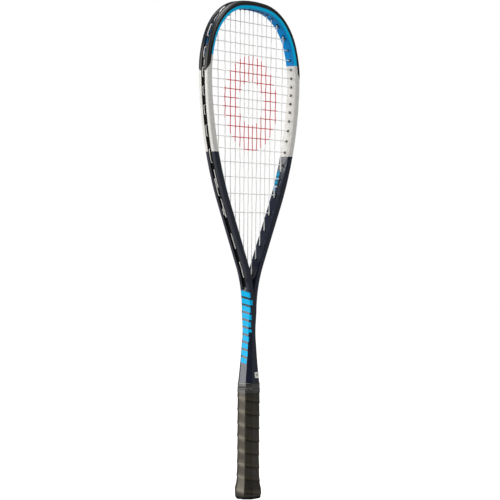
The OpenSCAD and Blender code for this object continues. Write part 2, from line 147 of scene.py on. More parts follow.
SHAFT_TOP = STARTS[7][1]


def pose(s):
    """The centre line's (x, z, angle) at a distance from the crown."""
    i = 0
    while i < len(BENDS) - 1 and s > STATIONS[i + 1]:
        i += 1
    r, run = BENDS[i][0], s - STATIONS[i]
    return walk(STARTS[i], (0, run) if r == 0 else (r, math.degrees(run / abs(r))))


def beside(s, out):
    p = pose(s)
    return np.array(p[:2]) + out * outward(p[2])


def at_tube(side, s, out, y):
    """A point beside the centre line, on the right side or mirrored to the left."""
    x, z = beside(s, out)
    return (side * x, y, z)


def find(f, low, high):
    """The place where f falls through zero."""
    for _ in range(30):
        middle = (low + high) / 2
        if f(middle) > 0:
            low = middle
        else:
            high = middle
    return low


def station_at_z(z, out):
    return find(lambda s: beside(s, out)[1] - z, 0, LINE_END)


# ---- The string pattern ----

MAIN_HALF = [4.5, 14.4, 23.9, 34.3, 45.3, 57.2, 72.2]
MAINS, CROSSES, MIDDLE = 2 * len(MAIN_HALF), 18, 8
FAN, FAN_Z, MIDDLE_Z = 0.00024, 551, 563.1
PITCH_ABOVE, GROWTH_ABOVE = 11.75, 0.08
PITCH_BELOW, GROWTH_BELOW = 12.04, 0.167
MAIN_WEAVE = 0.3
CROSS_WEAVE = 2 * STRING_R + 0.06 - MAIN_WEAVE
MAIN_TIE_Z, CROSS_TIE_X, CROSS_TIE_Z = 431, 51.8, 403.3


def side_of(i):
    return -1 if i < len(MAIN_HALF) else 1


def main_x(i, z):
    base = MAIN_HALF[len(MAIN_HALF) - 1 - i] if i < len(MAIN_HALF) else MAIN_HALF[i - len(MAIN_HALF)]
    return base * (1 + FAN * (z - FAN_Z))


cross_z = {MIDDLE: MIDDLE_Z}
for k in range(MIDDLE - 1, 0, -1):
    cross_z[k] = cross_z[k + 1] + PITCH_ABOVE + GROWTH_ABOVE * (k - MIDDLE) ** 2
for k in range(MIDDLE + 1, CROSSES + 1):
    cross_z[k] = cross_z[k - 1] - PITCH_BELOW - GROWTH_BELOW * (k - 1 - MIDDLE) ** 2

main_top = [find(lambda s: main_x(i, beside(s, -BEND)[1]) - beside(s, -BEND)[0], 0, SIDE_STATION)
            for i in range(MAINS)]
main_bottom = [find(lambda s: beside(s, -BEND)[0] - main_x(i, beside(s, -BEND)[1]), SIDE_STATION, LINE_END)
               for i in range(MAINS)]
cross_hole = {k: station_at_z(z, -BEND) for k, z in cross_z.items()}
main_tie = station_at_z(MAIN_TIE_Z, -HALF_W)
cross_tie_high = find(lambda s: CROSS_TIE_X - beside(s, -HALF_W)[0], 0, SIDE_STATION)
cross_tie_low = station_at_z(CROSS_TIE_Z, -HALF_W)
half_holes = sorted(main_top[len(MAIN_HALF):] + list(cross_hole.values()) + main_bottom[len(MAIN_HALF):])
bumper_end = station_at_z(BUMPER_END_Z, 0)
side_strip = (station_at_z(BUMPER_END_Z - STRIP_GAP, 0), station_at_z(STRIP_SPLIT_Z, 0))
throat_strip = (station_at_z(STRIP_SPLIT_Z - STRIP_GAP, 0), GROOVE_END - 1)

# ---- Mesh helpers ----

SHARP_ANGLE = 35


def show(name, data):
    """A new object in the scene."""
    obj = bpy.data.objects.new(name, data)
    bpy.context.scene.collection.objects.link(obj)
    return obj


def make(name, verts, faces, sharp=SHARP_ANGLE):
    """A shown mesh piece from points in millimetres, its faces turned outwards."""
    mesh = bpy.data.meshes.new(name)
    mesh.from_pydata([tuple(c * MM for c in v) for v in verts], [], faces)
    bm = bmesh.new()
    bm.from_mesh(mesh)
    bmesh.ops.recalc_face_normals(bm, faces=bm.faces)
    bm.to_mesh(mesh)
    bm.free()
    obj = show(name, mesh)
    shade(obj, sharp)
    return obj


def shade(obj, sharp):
    obj.data.shade_smooth()
    obj.data.set_sharp_from_angle(angle=math.radians(sharp))


def skin(rings, bands):
    """Points and faces of that many bands from ring to ring; as many as the rings close the loop."""
    n, count = len(rings[0]), len(rings)
    faces = [(i * n + j, i * n + (j + 1) % n, (i + 1) % count * n + (j + 1) % n, (i + 1) % count * n + j)
             for i in range(bands) for j in range(n)]
    return [p for ring in rings for p in ring], faces


def loft(rings, caps=True):
    """Points and faces of a skin through closed rings of equal length, with end caps."""
    n = len(rings[0])
    verts, faces = skin(rings, len(rings) - 1)
    if caps is True:
        caps = [tuple(range(n))]
    for cap in caps or []:
        faces.append(tuple(reversed(cap)))
        faces.append(tuple((len(rings) - 1) * n + j for j in cap))
    return verts, faces


def together(parts):
    verts, faces = [], []
    for v, f in parts:
        base = len(verts)
        verts += v
        faces += [tuple(base + i for i in face) for face in f]
    return verts, faces


def combine(obj, name, parts, operation):
    """Joins closed parts to a mesh, or cuts them out of it, for good."""
    other = make(name, *together(parts))
    mod = obj.modifiers.new("combine", "BOOLEAN")
    mod.operation, mod.solver, mod.object = operation, "MANIFOLD", other
    bpy.context.view_layer.update()
    done = bpy.data.meshes.new_from_object(obj.evaluated_get(bpy.context.evaluated_depsgraph_get()))
    obj.modifiers.clear()
    obj.data = done
    bpy.data.objects.remove(other)
    shade(obj, SHARP_ANGLE)


def even_normals(obj):
    mod = obj.modifiers.new("even_normals", "WEIGHTED_NORMAL")
    mod.keep_sharp = True
    mod.weight = 80


def fillet(points, radii, steps):
    """A closed polygon with each corner rounded; a zero radius keeps its corner as one point."""
    out = []
    n = len(points)
    for i, (p, r, k) in enumerate(zip(points, radii, steps)):
        if r <= 0 or k == 0:
            out.append(tuple(p))
            continue
        p = np.array(p, float)
        u, v = np.array(points[i - 1], float) - p, np.array(points[(i + 1) % n], float) - p
        lu, lv = np.linalg.norm(u), np.linalg.norm(v)
        u, v = u / lu, v / lv
        half = math.acos(max(-1, min(1, float(u @ v)))) / 2
        if half > math.radians(89.5):
            out += [tuple(p + v * 0.02 * (j - k / 2)) for j in range(k + 1)]
            continue
        t = min(r / math.tan(half), 0.49 * lu, 0.49 * lv)
        r = t * math.tan(half)
        centre = p + (u + v) / np.linalg.norm(u + v) * r / math.sin(half)
        a, b = p + u * t - centre, p + v * t - centre
        sweep = math.acos(max(-1, min(1, float(a @ b) / (r * r))))
        for j in range(k + 1):
            f = j / k
            w = (math.sin((1 - f) * sweep) * a + math.sin(f * sweep) * b) / math.sin(sweep)
            out.append(tuple(centre + w))
    return out


def smooth(t):
    t = max(0.0, min(1.0, t))
    return t * t * (3 - 2 * t)


def spaced(low, high, step):
    n = max(1, math.ceil((high - low) / step))
    return [low + (high - low) * i / n for i in range(n + 1)]


def circle_at(side, s, r, out, sides=20):
    """A circle round the axis of the hole at a station, at a level outwards."""
    x, z, h = pose(s)
    n, t = outward(h), onward(h)
    ring = []
    for j in range(sides):
        a = 2 * math.pi * j / sides
        q = np.array([x, z]) + out * n + r * math.cos(a) * t
        ring.append((side * q[0], r * math.sin(a), q[1]))
    return ring


def plug(side, s, r, low, high, sides=20):
    """A solid round bar through the tube at a station."""
    return loft([circle_at(side, s, r, out, sides) for out in (low, high)])


# ---- Node-material helpers ----


class Paint:
    """Builds one Principled material; every method adds one node and gives back its output socket."""

    def __init__(self, name, **sockets):
        self.mat = bpy.data.materials.new(name)
        self.mat.use_nodes = True
        self.tree = self.mat.node_tree
        self.shader = next(n for n in self.tree.nodes if n.type == "BSDF_PRINCIPLED")
        for key, value in sockets.items():
            self.shader.inputs[key.replace("_", " ")].default_value = value
        self.place = self.tree.nodes.new("ShaderNodeTexCoord").outputs["Object"]

    def node(self, kind, inputs=None, **props):
        n = self.tree.nodes.new(kind)
        for key, value in props.items():
            setattr(n, key, value)
        for key, value in (inputs or {}).items():
            self.put(n.inputs[key], value)
        return n

    def put(self, socket, value):
        if isinstance(value, bpy.types.NodeSocket):
            self.tree.links.new(value, socket)
        else:
            socket.default_value = value

    def math(self, operation, a, b=0.0, c=0.0):
        return self.node("ShaderNodeMath", {0: a, 1: b, 2: c}, operation=operation).outputs[0]

    def mix(self, factor, a, b):
        n = self.node("ShaderNodeMix", {"Factor": factor}, data_type="RGBA")
        self.put(n.inputs[6], a)
        self.put(n.inputs[7], b)
        return n.outputs[2]

    def span(self, value, low, high, to_low=0.0, to_high=1.0):
        return self.node("ShaderNodeMapRange", {"Value": value, "From Min": low, "From Max": high,
                                                "To Min": to_low, "To Max": to_high}).outputs[0]

    def both(self, first, *others):
        for other in others:
            first = self.math("MULTIPLY", first, other)
        return first

    def between(self, value, low, high):
        return self.both(self.math("GREATER_THAN", value, low), self.math("LESS_THAN", value, high))

    def dashes(self, value, pitch, gap):
        """1 on each dash along a value and 0 in the gap, which is a share of the pitch."""
        return self.math("GREATER_THAN", self.math("FRACT", self.math("MULTIPLY", value, 1 / pitch)), gap)

    def axes(self, place=None):
        n = self.node("ShaderNodeSeparateXYZ", {0: place or self.place})
        return n.outputs[0], n.outputs[1], n.outputs[2]

    def noise(self, scale, detail=3.0, rough=0.5, place=None):
        return self.node("ShaderNodeTexNoise", {"Vector": place or self.place, "Scale": scale,
                                                "Detail": detail, "Roughness": rough}).outputs[0]

    def cells(self, scale):
        return self.node("ShaderNodeTexVoronoi", {"Vector": self.place, "Scale": scale}).outputs["Distance"]

    def stretch(self, x, y, z):
        return self.node("ShaderNodeMapping", {"Vector": self.place, "Scale": (x, y, z)}).outputs[0]

    def bump(self, height, distance, strength=1.0, normal=None):
        inputs = {"Height": height, "Distance": distance, "Strength": strength}
        if normal is not None:
            inputs["Normal"] = normal
        return self.node("ShaderNodeBump", inputs).outputs[0]

    def finish(self, colour=None, roughness=None, normal=None):
        for key, value in (("Base Color", colour), ("Roughness", roughness), ("Normal", normal)):
            if value is not None:
                self.put(self.shader.inputs[key], value)
        return self.mat


def rgb(r, g, b):
    """A linear colour from 0-255 display values."""
    def linear(c):
        c /= 255
        return c / 12.92 if c <= 0.04045 else ((c + 0.055) / 1.055) ** 2.4
    return (linear(r), linear(g), linear(b), 1.0)


def dress(obj, material, body=ROOT):
    obj.data.materials.clear()
    obj.data.materials.append(material)
    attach(obj, body)
    return obj


# ---- Materials ----

NAVY, NAVY_LIGHT = rgb(13, 17, 33), rgb(23, 28, 48)
WHITE, WHITE_WARM = rgb(229, 228, 224), rgb(219, 217, 211)
# the brightest cyan is a painted highlight for the front and back faces
CYAN, CYAN_DEEP, CYAN_PAINTED_HIGHLIGHT = rgb(0, 136, 208), rgb(0, 126, 198), rgb(0, 200, 255)
CYAN_Z, WHITE_Z = 0.6048, 0.4755
# distance outwards from the straight arm's centre line is |x| * ARM_COS - z * ARM_SIN + ARM_SHIFT
ARM_COS, ARM_SIN = math.cos(math.radians(ARM_SLOPE)), math.sin(math.radians(ARM_SLOPE))
ARM_SHIFT = (STARTS[4][1] * ARM_SIN - STARTS[4][0] * ARM_COS) * MM
ZONE_BLUR = 0.00015
FACE_DEPTH = 0.0068
FORK_LOW, FORK_HIGH, FORK_HALF_X = 0.296, 0.336, 0.012
GRAPHIC_LOW, GRAPHIC_HIGH, GRAPHIC_PITCH, GRAPHIC_WIDE_Z = 0.184, 0.286, 0.0102, 0.231
GRAPHIC_CLEAR_X, GRAPHIC_BACK = 0.0032, -0.0066
MARKS_LOW, MARKS_HIGH, MARKS_PITCH = 0.427, 0.455, 0.0058
DASHES_LOW, DASHES_HIGH, DASHES_PITCH = 0.421, 0.46, 0.0031


def zone_colour(p, y, z):
    """The navy, white and cyan zones up the frame, with a painted highlight of brighter cyan on the front
    and back faces.
    """
    mottle = p.noise(260, 4, 0.6)
    flakes = p.cells(5200)
    navy = p.mix(p.span(mottle, 0.35, 0.7), NAVY, NAVY_LIGHT)
    navy = p.mix(p.span(flakes, 0.0, 0.16, 0.35, 0.0), navy, rgb(80, 88, 120))
    white = p.mix(p.span(mottle, 0.4, 0.62), WHITE, WHITE_WARM)
    cyan = p.mix(p.span(mottle, 0.35, 0.65), CYAN, CYAN_DEEP)
    # painted highlight: the front and back faces turn a brighter cyan, standing in for light on the rounded
    # face
    cyan = p.mix(p.span(p.math("ABSOLUTE", y), FACE_DEPTH, FACE_DEPTH + 0.0005), cyan, CYAN_PAINTED_HIGHLIGHT)
    colour = p.mix(p.span(z, WHITE_Z - ZONE_BLUR, WHITE_Z + ZONE_BLUR), navy, white)
    return p.mix(p.span(z, CYAN_Z - ZONE_BLUR, CYAN_Z + ZONE_BLUR), colour, cyan)


def shaft_blocks(p, x, y, z):
    """Slanted blocks round the left of the shaft in front, and round the right of it behind."""
    turned = p.both(p.math("SIGN", x), y)
    slant = p.math("MULTIPLY_ADD", turned, 0.22, z)
    step = p.math("DIVIDE", p.math("SUBTRACT", slant, GRAPHIC_LOW), GRAPHIC_PITCH)
    bar = p.math("GREATER_THAN", p.math("FRACT", step), 0.3)
    odd = p.math("FRACT", p.both(p.math("FLOOR", step), 0.618))
    wide = p.math("GREATER_THAN", slant, GRAPHIC_WIDE_Z)
    edge = p.math("MULTIPLY_ADD", odd, 0.0012, p.math("MULTIPLY_ADD", wide, 0.0028, 0.0046))
    side = p.math("GREATER_THAN", p.math("ABSOLUTE", x), GRAPHIC_CLEAR_X)
    return p.both(bar, p.between(turned, GRAPHIC_BACK, edge), side,
                  p.between(slant, GRAPHIC_LOW, GRAPHIC_HIGH))


def arm_prints(p, x, y, z):
    """On each arm's inner wall, a short row of marks on the rear half and a fine dashed line in front."""
    level = p.math("MULTIPLY_ADD", z, -ARM_SIN, ARM_SHIFT)
    inner = p.math("LESS_THAN", p.math("MULTIPLY_ADD", p.math("ABSOLUTE", x), ARM_COS, level), -0.004)
    marks = p.both(p.dashes(z, MARKS_PITCH, 0.22), inner, p.between(z, MARKS_LOW, MARKS_HIGH),
                   p.between(y, 0.0022, 0.0068))
    line = p.both(p.dashes(z, DASHES_PITCH, 0.45), p.between(y, -0.0031, -0.0026),
                  p.between(z, DASHES_LOW, DASHES_HIGH), inner)
    return marks, line


def satin_share(p, x, y, z, printed):
    """1 on the cyan and white zones, the prints and the fork's inside, and 0 on the glossy navy."""
    fork = p.both(p.span(p.math("ABSOLUTE", y), 0.0078, 0.0081, 1.0, 0.0),
                  p.span(p.math("ABSOLUTE", x), FORK_HALF_X, FORK_HALF_X + 0.004, 1.0, 0.0),
                  p.span(z, FORK_LOW, FORK_LOW + 0.004), p.span(z, FORK_HIGH - 0.01, FORK_HIGH, 1.0, 0.0))
    upper = p.span(z, WHITE_Z - 0.0002, WHITE_Z + 0.0002)
    return p.math("MAXIMUM", p.math("MAXIMUM", printed, fork), upper)


def paint_material():
    p = Paint("lacquered_carbon", Coat_Roughness=0.08, Coat_Tint=(0.86, 0.92, 1.0, 1.0))
    x, y, z = p.axes()
    blocks = shaft_blocks(p, x, y, z)
    marks, line = arm_prints(p, x, y, z)
    colour = p.mix(blocks, zone_colour(p, y, z), rgb(0, 186, 244))
    colour = p.mix(marks, colour, rgb(0, 145, 190))
    colour = p.mix(line, colour, rgb(150, 156, 170))
    satin = satin_share(p, x, y, z, p.math("MAXIMUM", blocks, marks))
    p.put(p.shader.inputs["Coat Weight"], p.span(satin, 0.0, 1.0, 0.85, 0.05))
    p.put(p.shader.inputs["Specular IOR Level"], p.span(satin, 0.0, 1.0, 0.4, 0.12))
    rough = p.span(p.noise(900, 3), 0.3, 0.7, 0.28, 0.36)
    peel = p.bump(p.noise(620, 2), 0.00006, 0.35)
    return p.finish(colour, rough, peel)


def plastic_material(name, dark, light, rough_low, rough_high, **sockets):
    p = Paint(name, **sockets)
    mottle = p.noise(340, 4, 0.6)
    grain = p.noise(5200, 2)
    colour = p.mix(p.span(mottle, 0.3, 0.7), dark, light)
    rough = p.span(mottle, 0.3, 0.7, rough_low, rough_high)
    return p.finish(colour, rough, p.bump(grain, 0.00003, 0.5))


RING_Z, RING_HALF_X, RING_HALF_Z, RING_HOLE = 0.5455, 0.061, 0.066, 0.45


def string_material():
    p = Paint("string_multifilament", Specular_IOR_Level=0.5, Sheen_Weight=0.1, Subsurface_Weight=0.7,
              Subsurface_Radius=(1, 1, 1), Subsurface_Scale=0.004)
    x, y, z = p.axes()
    # the plain oval ring stencilled on the strings
    u = p.math("DIVIDE", x, RING_HALF_X)
    v = p.math("DIVIDE", p.math("SUBTRACT", z, RING_Z), RING_HALF_Z)
    radius = p.math("SQRT", p.math("ADD", p.both(u, u), p.both(v, v)))
    blot = p.math("MULTIPLY_ADD", p.noise(420, 2), 0.05, -0.025)
    radius = p.math("ADD", radius, blot)
    ring = p.both(p.span(radius, 1.0, 0.99), p.span(radius, RING_HOLE, RING_HOLE + 0.01))
    wear = p.span(p.noise(900, 3), 0.2, 0.4, 0.85, 1.0)
    fibre = p.noise(1600, 2, 0.5)
    base = p.mix(p.span(fibre, 0.3, 0.7), rgb(250, 249, 245), rgb(236, 234, 227))
    colour = p.mix(p.both(ring, wear), base, rgb(200, 8, 36))
    return p.finish(colour, 0.42, p.bump(fibre, 0.00004, 0.6))


def grip_material():
    """Pebbled synthetic leather with staggered pinholes that follow the winding, a painted highlight along
    each turn's lower edge and painted shade in the seams.
    """
    p = Paint("grip_perforated_pu", Specular_IOR_Level=0.8, Specular_Tint=(1.0, 0.92, 0.78, 1.0))
    wound = p.node("ShaderNodeUVMap", uv_map="tape").outputs[0]
    turned = p.node("ShaderNodeMapping", {"Vector": wound, "Rotation": (0, 0, math.radians(45))}).outputs[0]
    holes = p.node("ShaderNodeTexVoronoi", {"Vector": turned, "Scale": 1 / PINHOLE_PITCH, "Randomness": 0.0})
    hole = p.span(holes.outputs["Distance"], 0.1, 0.15, 1.0, 0.0)
    over = p.axes(wound)[1]
    # painted shade: near-black in the crease where each turn's upper edge tucks under the next turn
    seam = p.span(over, GRIP_PITCH - 1.6, GRIP_PITCH - 0.5, 0.0, 1.0)
    # painted highlight: lighter and a little less rough along the lower edge of each turn
    lower_edge_highlight = p.both(p.span(over, 0.0, 0.3), p.span(over, 1.2, 5.5, 1.0, 0.0))
    hide = p.noise(1500, 5, 0.65)
    broad = p.noise(90, 3)
    colour = p.mix(p.span(hide, 0.3, 0.72), rgb(10, 9, 7), rgb(25, 23, 18))
    colour = p.mix(p.span(broad, 0.35, 0.7, 0.0, 0.3), colour, rgb(42, 38, 30))
    colour = p.mix(p.span(lower_edge_highlight, 0.0, 1.0, 0.0, 0.22), colour, rgb(104, 95, 74))
    # near-black in the pinholes and in the painted seam shade
    colour = p.mix(p.math("MAXIMUM", hole, seam), colour, rgb(3, 3, 3))
    skin = p.bump(p.cells(2600), 0.00004, 0.3)
    pits = p.bump(p.math("SUBTRACT", 1.0, hole), 0.0003, 0.8, skin)
    rough = p.math("SUBTRACT", p.span(hide, 0.3, 0.7, 0.29, 0.4), p.both(lower_edge_highlight, 0.06))
    return p.finish(colour, rough, p.bump(hide, 0.00002, 0.4, pits))


def tape_material():
    p = Paint("tape_gloss_vinyl", Specular_IOR_Level=0.3, Coat_Weight=1.0, Coat_IOR=1.8, Coat_Roughness=0.22,
              Coat_Tint=(1.0, 0.97, 0.9, 1.0))
    ripple = p.noise(140, 3, 0.5, p.stretch(1, 1, 2.5))
    colour = p.mix(p.span(ripple, 0.3, 0.7), rgb(5, 5, 6), rgb(13, 13, 13))
    rough = p.span(p.noise(700, 3), 0.3, 0.7, 0.16, 0.26)
    return p.finish(colour, rough, p.bump(ripple, 0.00012, 0.3))


def label_material():
    p = Paint("label_film", Specular_IOR_Level=0.4)
    x, y, z = p.axes()
    low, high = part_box("handle_label")
    across = p.span(x, low.x, high.x)
    up = p.span(z, low.z, high.z)
    bars = p.both(p.dashes(across, 0.25, 0.52), p.between(across, 0.22, 0.8), p.between(up, 0.3, 0.8))
    paper = p.mix(p.span(p.noise(800, 3), 0.3, 0.7), rgb(252, 251, 247), rgb(238, 236, 230))
    colour = p.mix(bars, paper, rgb(88, 86, 84))
    return p.finish(colour, 0.38, p.bump(p.noise(2400, 2), 0.00003, 0.4))


def steel_material():
    p = Paint("staple_wire", Metallic=1.0)
    drawn = p.noise(900, 3, 0.6, p.stretch(1, 0.1, 1))
    colour = p.mix(p.span(drawn, 0.3, 0.7), rgb(180, 180, 178), rgb(140, 140, 140))
    return p.finish(colour, p.span(drawn, 0.3, 0.7, 0.25, 0.4), p.bump(drawn, 0.00003, 0.5))


PAINT = paint_material()
BUMPER = plastic_material("bumper_nylon", rgb(21, 21, 22), rgb(36, 36, 37), 0.3, 0.42,
                          Specular_IOR_Level=0.45)
GROMMET = plastic_material("grommet_nylon", rgb(3, 3, 3), rgb(9, 9, 9), 0.45, 0.6, Specular_IOR_Level=0.08)
CAP = plastic_material("cap_plastic", rgb(9, 9, 9), rgb(18, 17, 16), 0.4, 0.55, Specular_IOR_Level=0.3)
STRING, GRIP, TAPE, LABEL, STEEL = (string_material(), grip_material(), tape_material(), label_material(),
                                    steel_material())

# ---- Frame: hoop, throat and shaft in one smooth painted tube ----


def tube_outline(groove):
    """Across the tube, (outwards, y); groove is 1 at full depth and 0 where it has run out."""
    floor = HALF_W - groove * GROOVE_DEPTH
    in_side = GROOVE_HALF - (1 - groove) * 0.5
    points = [(HALF_W, -GROOVE_HALF), (floor, -in_side), (floor, in_side), (HALF_W, GROOVE_HALF),
              (HALF_W, HALF_D), (-HALF_W, HALF_D), (-HALF_W, -HALF_D), (HALF_W, -HALF_D)]
    lip, outer, inner = 0.02 + 0.25 * groove, TUBE_CORNER, INNER_CORNER
    return fillet(points, [lip, lip, lip, lip, outer, inner, inner, outer], [2, 1, 1, 2, 8, 6, 6, 8])


def tube_half(side):
    """Half the hoop and one arm; the groove fades out below its end."""
    stations = spaced(0, GROOVE_END, STATION_STEP)
    stations += spaced(GROOVE_END + 0.5, GROOVE_END + GROOVE_FADE, 0.7)
    rings = []
    for s in stations + spaced(GROOVE_END + GROOVE_FADE + 1, LINE_END, STATION_STEP):
        groove = 1 - smooth((s - GROOVE_END) / GROOVE_FADE)
        rings.append([at_tube(side, s, o, y) for o, y in tube_outline(groove)])
    return loft(rings)


def rounded_octagon(z, w, d, b, r, steps=4):
    """A level ring: a box of width w and depth d with bevels b and softened corners r."""
    w, d = w / 2, d / 2
    points = [(w - b, -d), (w, b - d), (w, d - b), (w - b, d),
              (b - w, d), (-w, d - b), (-w, b - d), (b - w, -d)]
    return [(x, y, z) for x, y in fillet(points, [r] * 8, [steps] * 8)]


def shaft():
    top = SHAFT_TOP + 5
    rings = []
    for z in [4, 150] + spaced(SHAFT_STRAIGHT_Z - 10, top, 3):
        blend = smooth((z - SHAFT_STRAIGHT_Z) / (SHAFT_TOP - SHAFT_STRAIGHT_Z))
        depth = SHAFT_D + (TUBE_D + 0.1 - SHAFT_D) * blend
        rings.append(rounded_octagon(z, SHAFT_W, depth, SHAFT_BEVEL - 1.9 * blend, 1.5 + 0.7 * blend))
    return loft(rings)


tube = make("frame_tube", *tube_half(1))
combine(tube, "other_half", [tube_half(-1)], "UNION")
combine(tube, "shaft", [shaft()], "UNION")
holes = [(side, s) for side in (-1, 1) for s in half_holes + [main_tie]]
holes += [(-1, cross_tie_high), (-1, cross_tie_low)]
hole_plugs = [plug(side, s, HOLE_R, -HALF_W - 1, HALF_W) for side, s in holes]
combine(tube, "hole_cutters", hole_plugs, "DIFFERENCE")
even_normals(tube)
dress(tube, PAINT)
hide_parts("frame")

# ---- Bumper guard ----


def run(a, b, n):
    """n points from a towards b, without b."""
    return [(a[0] + (b[0] - a[0]) * i / n, a[1] + (b[1] - a[1]) * i / n) for i in range(n)]


def arc(centre, r, start, stop, n):
    turns = [math.radians(start + (stop - start) * i / n) for i in range(n)]
    return [(centre[0] + r * math.cos(a), centre[1] + r * math.sin(a)) for a in turns]


def bumper_curves(thick):
    """Outer and inner curve from the flange's edge to the middle of the channel, y positive, paired."""
    edge, corner = HALF_W - FACE_WRAP, TUBE_CORNER
    top, wall = HALF_D + thick, HALF_W + thick
    mid = (HALF_W - corner, HALF_D - corner)
    line_floor = wall - 0.3
    outer = run((edge, top - thick * 0.45), (edge + 0.35, top), 2)
    outer += run((edge + 0.35, top), (mid[0], top), 3) + arc(mid, corner + thick, 90, 0, 9)
    outer += [(wall, mid[1]), (wall, 4.75), (line_floor, 4.6), (line_floor, 4.4), (wall, 4.2), (wall, 3.4),
              (wall, 2.8), (wall - 0.12, 2.5), (wall - 0.45, CHANNEL_HALF)]
    outer += [(STRIP_TOP + 0.25, CHANNEL_HALF), (STRIP_TOP, CHANNEL_HALF - 0.25),
              (STRIP_TOP, 1.1), (STRIP_TOP, 0.0)]
    in_top, in_wall = HALF_D + GAP, HALF_W + GAP
    inner = run((edge, in_top), (mid[0], in_top), 5)
    inner += arc(mid, corner + GAP, 90, 0, 9)
    inner += [(in_wall, y) for y in (mid[1], 4.75, 4.6, 4.4, 4.2, 3.4)]
    inner += [(in_wall, STRIP_HALF + 0.03), (in_wall, STRIP_HALF + 0.01), (in_wall, STRIP_HALF)]
    inner += [(GROOVE_FLOOR + 0.6, STRIP_HALF)]
    inner += [(GROOVE_FLOOR + GAP, y) for y in (STRIP_HALF, 1.1, 0.0)]
    return outer, inner


def mirrored(curve):
    return [(o, -y) for o, y in curve] + [(o, y) for o, y in reversed(curve[:-1])]


def bumper():
    """The guard's skin; its ends are cut back from the channel out to the flange's edge."""
    rings = []
    stations = spaced(0, bumper_end, STATION_STEP)
    for s in [-s for s in reversed(stations)] + stations[1:]:
        near_end = max(0.0, (abs(s) - (bumper_end - END_ZONE)) / END_ZONE)
        outer, inner = bumper_curves(BUMPER_T * (1 - 0.4 * near_end ** 4))
        across = np.concatenate([[0], np.cumsum([math.dist(a, b) for a, b in zip(outer, outer[1:])])])
        share = 1 - across / across[-5]
        ring = []
        for curve in (mirrored(outer), mirrored(inner)[::-1]):
            half = len(outer)
            for j, (o, y) in enumerate(curve):
                q = max(0.0, share[j if j < half else 2 * half - 2 - j])
                back = END_CUT * (0.25 * q ** 4 + 0.75 * max(0.0, q - 0.28) / 0.72) * smooth(near_end)
                ring.append(at_tube(1 if s >= 0 else -1, abs(s) - back, o, y))
        rings.append(ring)
    n = len(rings[0])
    caps = [(j, j + 1, n - 2 - j, n - 1 - j) for j in range(n // 2 - 1)]
    return loft(rings, caps)


BARREL_PROFILE = [(1.3, -MOUTH), (BARREL_R, -MOUTH + 0.05), (BARREL_R + 0.2, -MOUTH + 0.2),
                  (BARREL_R + 0.2, -MOUTH + 0.5), (BARREL_R, -MOUTH + 0.62), (BARREL_R, STRIP_TOP - 0.2)]
PAD_PROFILE = [(2.15, STRIP_TOP - 0.3), (2.15, STRIP_TOP + 0.12), (1.95, STRIP_TOP + 0.25)]


def barrel_body(side, s):
    """A round-mouthed solid barrel, to be bored afterwards."""
    return loft([circle_at(side, s, r, out, 18) for r, out in BARREL_PROFILE])


def pad(side, s):
    """A low round boss that backs each hole of a strip."""
    return loft([circle_at(side, s, r, out) for r, out in PAD_PROFILE])


def bore(side, s):
    return plug(side, s, BORE_R, -MOUTH - 1, STRIP_TOP + 1.5, 16)


def slot_cutter(side, s, half_length, half_width, y=0.0, low=GROOVE_FLOOR - 0.02, high=STRIP_TOP + 0.3):
    """A round-ended slot along the tube, between two levels outwards."""
    rings = []
    ends = [half_length - half_width * (1 - math.sin(math.radians(a))) for a in (8, 30, 60, 90)]
    for along in [-e for e in reversed(ends)] + spaced(-ends[0], ends[0], 2.5)[1:-1] + ends:
        to_end = max(0.0, abs(along) - (half_length - half_width))
        half = math.sqrt(max(0.0, half_width ** 2 - to_end ** 2)) + 0.02
        rings.append([at_tube(side, s + along, out, y + w) for out, w in
                      ((low, -half), (low, half), (high, half), (high, -half))])
    return loft(rings)


WINDOW_ROOM, WINDOW_MARGIN = 8.5, 2.6


def windows(low, high):
    """Middles and half lengths of the gaps between neighbouring holes that have room for a window."""
    here = sorted(s for s in half_holes + [cross_tie_high] if low < s < high)
    return [((a + b) / 2, (b - a) / 2 - WINDOW_MARGIN) for a, b in zip(here, here[1:])
            if b - a > WINDOW_ROOM]


guard = make("bumper_guard_shell", *bumper())
guard_holes = [(side, s) for side in (-1, 1) for s in half_holes if s < bumper_end]
combine(guard, "guard_barrels", [barrel_body(*h) for h in guard_holes], "UNION")
cutters = [bore(*h) for h in guard_holes]
cutters.append(plug(-1, cross_tie_high, HOLE_R, GROOVE_FLOOR - 1, STRIP_TOP + 1))
cutters += [slot_cutter(side, s, half, 1.0) for side in (-1, 1) for s, half in windows(0, bumper_end)]
slits = spaced(8, bumper_end - 34, 24)
for side in (-1, 1):
    for y in (-SLIT_Y, SLIT_Y):
        cutters += [slot_cutter(side, (a + b) / 2, (b - a) / 2 - 1.6, SLIT_HALF, y, HALF_W - 0.4,
                                HALF_W + BUMPER_T + 0.4) for a, b in zip(slits, slits[1:])]
combine(guard, "guard_cutters", cutters, "DIFFERENCE")
even_normals(guard)
dress(guard, BUMPER)
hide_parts("bumper_guard")

# ---- Grommet strips and single grommets ----


def strip_outline(narrow):
    """Across a strip: a flat base between two lips; narrow is its share of the full width."""
    half, base = STRIP_HALF * narrow, GROOVE_FLOOR + GAP
    lip = min(CHANNEL_HALF + 0.35, half - 0.25)
    points = [(base, -half), (LIP_TOP, -half), (LIP_TOP, -lip), (STRIP_TOP, -lip),
              (STRIP_TOP, lip), (LIP_TOP, lip), (LIP_TOP, half), (base, half)]
    return fillet(points, [0, 0.15, 0.15, 0.2, 0.2, 0.15, 0.15, 0], [0, 2, 2, 1, 1, 2, 2, 0])


def strip(side, low, high):
    rings = []
    middle = spaced(low + 2, high - 2, STATION_STEP)
    for s in [low, low + 0.4, low + 1.0] + middle + [high - 1.0, high - 0.4, high]:
        from_end = min(s - low, high - s, 2.0) / 2.0
        narrow = 0.62 + 0.38 * math.sqrt(1 - (1 - from_end) ** 2)
        rings.append([at_tube(side, s, o, y) for o, y in strip_outline(narrow)])
    return loft(rings)


